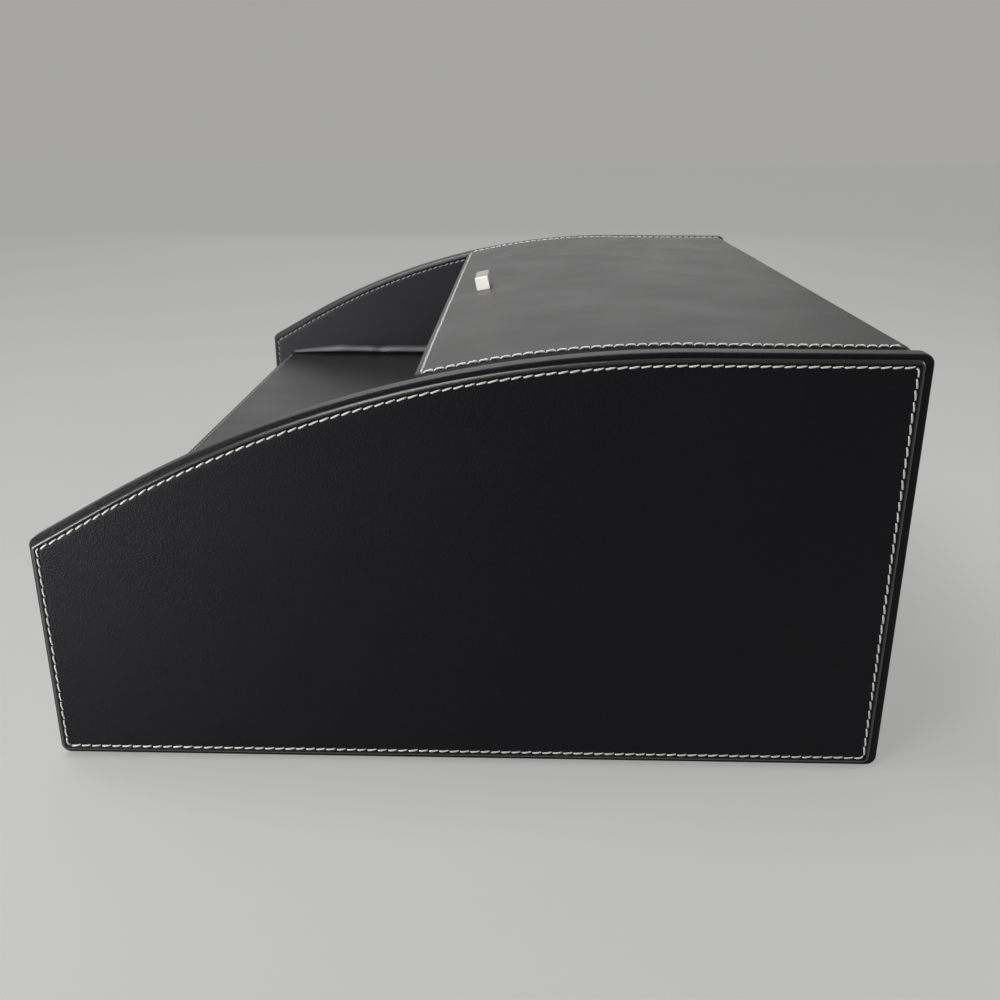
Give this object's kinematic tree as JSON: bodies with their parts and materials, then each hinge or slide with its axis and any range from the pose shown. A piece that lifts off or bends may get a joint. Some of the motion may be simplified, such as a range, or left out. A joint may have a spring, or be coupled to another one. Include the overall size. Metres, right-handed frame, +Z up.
{
  "type": "stationery box",
  "caption": "Leather-covered desk stationery box: curved sides, open front tray, hinged lid over a rear compartment and a drawer below.",
  "frame": {"origin": "on the standing surface, midway between the sides and midway front to back", "axes": "+X the box's right side, +Y its rear, +Z up"},
  "size_m": [0.443, 0.35, 0.1786],
  "materials": {
    "black_leather": "fine-grained semi-gloss black",
    "edge_leather": "smooth semi-gloss black edge band",
    "hinge_leather": "thin soft black",
    "suede_lining": "short-napped black",
    "base_felt": "matt black felt",
    "core_board": "raw fibreboard",
    "drawer_board": "black-covered board",
    "satin_nickel": "satin nickel",
    "steel_hardware": "zinc plated"
  },
  "bodies": {
    "case": {"left_side_board": "core_board", "right_side_board": "core_board", "left_edge_wrap": "edge_leather", "right_edge_wrap": "edge_leather", "left_outer_skin": "black_leather", "right_outer_skin": "black_leather", "left_inner_skin": "black_leather", "right_inner_skin": "black_leather", "left_deck_roll": "black_leather", "right_deck_roll": "black_leather", "base_board": "core_board", "base_skin": "black_leather", "base_felt": "base_felt", "back_board": "core_board", "back_skin": "black_leather", "deck_board": "core_board", "deck_skin": "black_leather", "divider_board": "core_board", "divider_skin": "black_leather", "compartment_lining": "suede_lining", "hinge_strip_lower": "hinge_leather"},
    "lid": {"lid_board": "core_board", "lid_skin": "black_leather", "lid_lining": "suede_lining", "hinge_strip_upper": "hinge_leather", "lid_pull": "satin_nickel", "lid_pull_screws": "steel_hardware", "lid_pull_washers": "steel_hardware"},
    "drawer": {"drawer_front_board": "core_board", "drawer_front_skin": "black_leather", "drawer_left_side": "drawer_board", "drawer_right_side": "drawer_board", "drawer_back": "drawer_board", "drawer_bottom": "drawer_board", "drawer_lining": "suede_lining", "drawer_pull": "satin_nickel", "drawer_pull_screws": "steel_hardware", "drawer_pull_washers": "steel_hardware"}
  },
  "joints": [
    {"name": "lid_hinge", "type": "hinge", "parent": "case", "child": "lid", "pos_m": [0, 0.1715, 0.1682], "axis": [-1, 0, 0], "range_deg": [0, 105]},
    {"name": "drawer_slide", "type": "slide", "parent": "case", "child": "drawer", "axis": [0, -1, 0], "range_m": [0, 0.24]}
  ]
}
